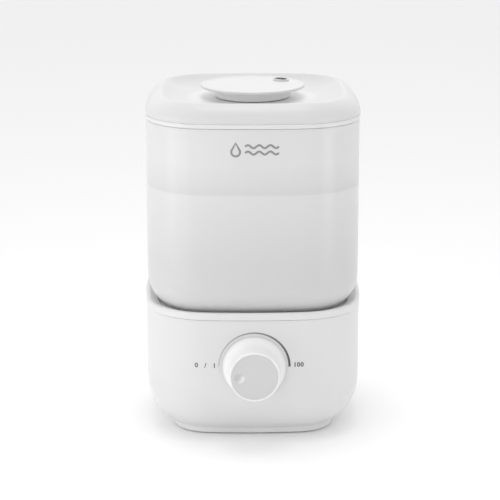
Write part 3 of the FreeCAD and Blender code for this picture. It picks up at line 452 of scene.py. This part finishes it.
class Print:
    """A flat drawing on X and Z that is laid on the front wall of a CAD node."""

    def __init__(self, name, node, body, slot, material):
        self.name = name
        self.body = body
        self.slot = slot
        self.material = material
        self.mesh = bmesh.new()
        wall = nodes[node].data
        self.wall = BVHTree.FromPolygons([point.co.copy() for point in wall.vertices],
                                         [tuple(face.vertices) for face in wall.polygons])

    def stroke(self, points, width, closed=False):
        """A band of even width, or of one width per point, along a line."""
        count = len(points)
        widths = width if isinstance(width, list) else [width] * count
        rows = []
        for index, point in enumerate(points):
            before = points[(index - 1) % count] if closed or index else point
            after = points[(index + 1) % count] if closed or index < count - 1 else point
            along = Vector((after[0] - before[0], after[1] - before[1])).normalized()
            across = Vector((-along.y, along.x)) * widths[index] / 2
            rows.append([
                self.mesh.verts.new((point[0] + side * across.x, 0, point[1] + side * across.y))
                for side in (-1, 1)])
        for index in range(count if closed else count - 1):
            here, there = rows[index], rows[(index + 1) % count]
            self.mesh.faces.new((here[0], there[0], there[1], here[1]))

    def word(self, text, height, left, middle, weight, space=1.12):
        """Figures in the built-in typeface, thickened by weight, height being a capital's."""
        curve = bpy.data.curves.new("word", "FONT")
        curve.body = text
        capital = 0.69  # a capital's share of the typeface's size
        curve.size = height / capital
        curve.offset = weight
        curve.space_character = space
        curve.resolution_u = 6
        holder = bpy.data.objects.new("word", curve)
        bpy.context.scene.collection.objects.link(holder)
        bpy.context.view_layer.update()
        flat = bpy.data.meshes.new_from_object(holder)
        low = min(point.co.x for point in flat.vertices)
        for point in flat.vertices:
            across, up = point.co.x, point.co.y
            point.co = (left + across - low, 0, middle - height / 2 + up)
        self.mesh.from_mesh(flat)
        bpy.data.objects.remove(holder)
        bpy.data.meshes.remove(flat)

    def finish(self):
        """Turns the drawing into a closed film and sets it on the wall."""
        flat = self.mesh
        bmesh.ops.remove_doubles(flat, verts=flat.verts, dist=1e-6)
        bmesh.ops.solidify(flat, geom=flat.faces[:], thickness=INK + ROOT)
        depths = [point.co.y for point in flat.verts]
        front = min(depths)
        for point in flat.verts:
            depth = point.co.y - front
            start = Vector((point.co.x, -1.0, point.co.z))
            place = self.wall.ray_cast(start, Vector((0, 1, 0)))[0]
            point.co.y = place.y - INK + depth
        bmesh.ops.recalc_face_normals(flat, faces=flat.faces)
        mesh = bpy.data.meshes.new(self.name)
        flat.to_mesh(mesh)
        flat.free()
        mesh.materials.append(self.material)
        piece = bpy.data.objects.new(self.name, mesh)
        bpy.context.scene.collection.objects.link(piece)
        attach(piece, self.body)


def arc(middle, radius, start, stop, steps):
    """Points on a circle on X and Z between two angles in degrees."""
    turns = [math.radians(start + (stop - start) * index / steps) for index in range(steps + 1)]
    return [(radius * math.cos(turn), middle + radius * math.sin(turn)) for turn in turns]


def ink(name, level):
    """Pad-printed ink: a little uneven where it was thin."""
    surface = Surface(name, Specular_IOR_Level=0.4)
    patch = surface.noise(420.0, 4.0)
    surface.colour(surface.ramp(patch, [(0.3, grey(level * 0.94)), (0.7, grey(level * 1.08))]))
    surface.rough(surface.spread(patch, 0.42, 0.58))
    surface.bump((surface.noise(2400.0, 2.0), 0.12, 0.00004))
    return surface


def fading_ink(name, left, right, reach):
    """The scale's ink: printed as a tint that grows darker from left to right."""
    surface = ink(name, 0.2)
    share = surface.spread(surface.axes()["X"], 0.0, 1.0, -reach, reach)
    surface.colour(surface.ramp(share, [(0.0, grey(left)), (0.5, grey(0.30)), (1.0, grey(right))]))
    return surface.material


def print_marks():
    """The dial's growing scale and end figures, and a drop with waves on the tank."""
    radius = 25.8 * MM
    scale = Print("dial_scale", "base_shell", "base", "shell_plastic",
                  fading_ink("scale_ink", 0.46, 0.12, 26.0 * MM))
    steps = 72
    growth = [(0.5 + 1.2 * index / steps) * MM for index in range(steps + 1)]
    scale.stroke(arc(DIAL_HEIGHT, radius, 180, 0, steps), growth)
    scale.finish()
    low = Print("low_figure", "base_shell", "base", "shell_plastic",
                ink("figure_ink", 0.14).material)
    low.word("0 / 1", 3.3 * MM, -43.4 * MM, 59.5 * MM, 0.14 * MM, 1.7)
    low.finish()
    high = Print("high_figure", "base_shell", "base", "shell_plastic",
                 ink("high_ink", 0.14).material)
    high.word("100", 3.2 * MM, 29.4 * MM, 59.9 * MM, 0.18 * MM)
    high.finish()
    mark = Print("water_mark", "tank_shell", "tank", "tank_frosted", ink("mark_ink", 0.28).material)
    draw_water(mark, 219.6 * MM)
    mark.finish()


def draw_water(mark, height):
    """A drop at the left and two rows of waves beside it."""
    width = 1.5 * MM
    belly = 3.1 * MM
    centre = -13.2 * MM
    low = height - 1.6 * MM
    round_part = [(centre + x, z) for x, z in arc(low, belly, 155, 385, 26)]
    tip = (centre, low + 6.4 * MM)
    mark.stroke(round_part + [tip], width, closed=True)
    for row in (-2.3, 2.3):
        swell = [row + 1.1 * math.sin(math.tau * index / 16) for index in range(49)]
        wave = [((-6.5 + 0.5 * index) * MM, height + rise * MM) for index, rise in enumerate(swell)]
        mark.stroke(wave, width)


# ---- The valve's spring ----

def make_spring():
    """A copy of the spring node, with its own mesh, that takes the node's place on the tank."""
    spring = bpy.data.objects.new("pressed_spring", nodes["valve_spring"].data.copy())
    bpy.context.scene.collection.objects.link(spring)
    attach(spring, "tank")
    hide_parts("valve_spring")
    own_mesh(spring)


make_camera()
make_studio()
make_floor()
dress_nodes(make_materials())
make_spring()
print_marks()
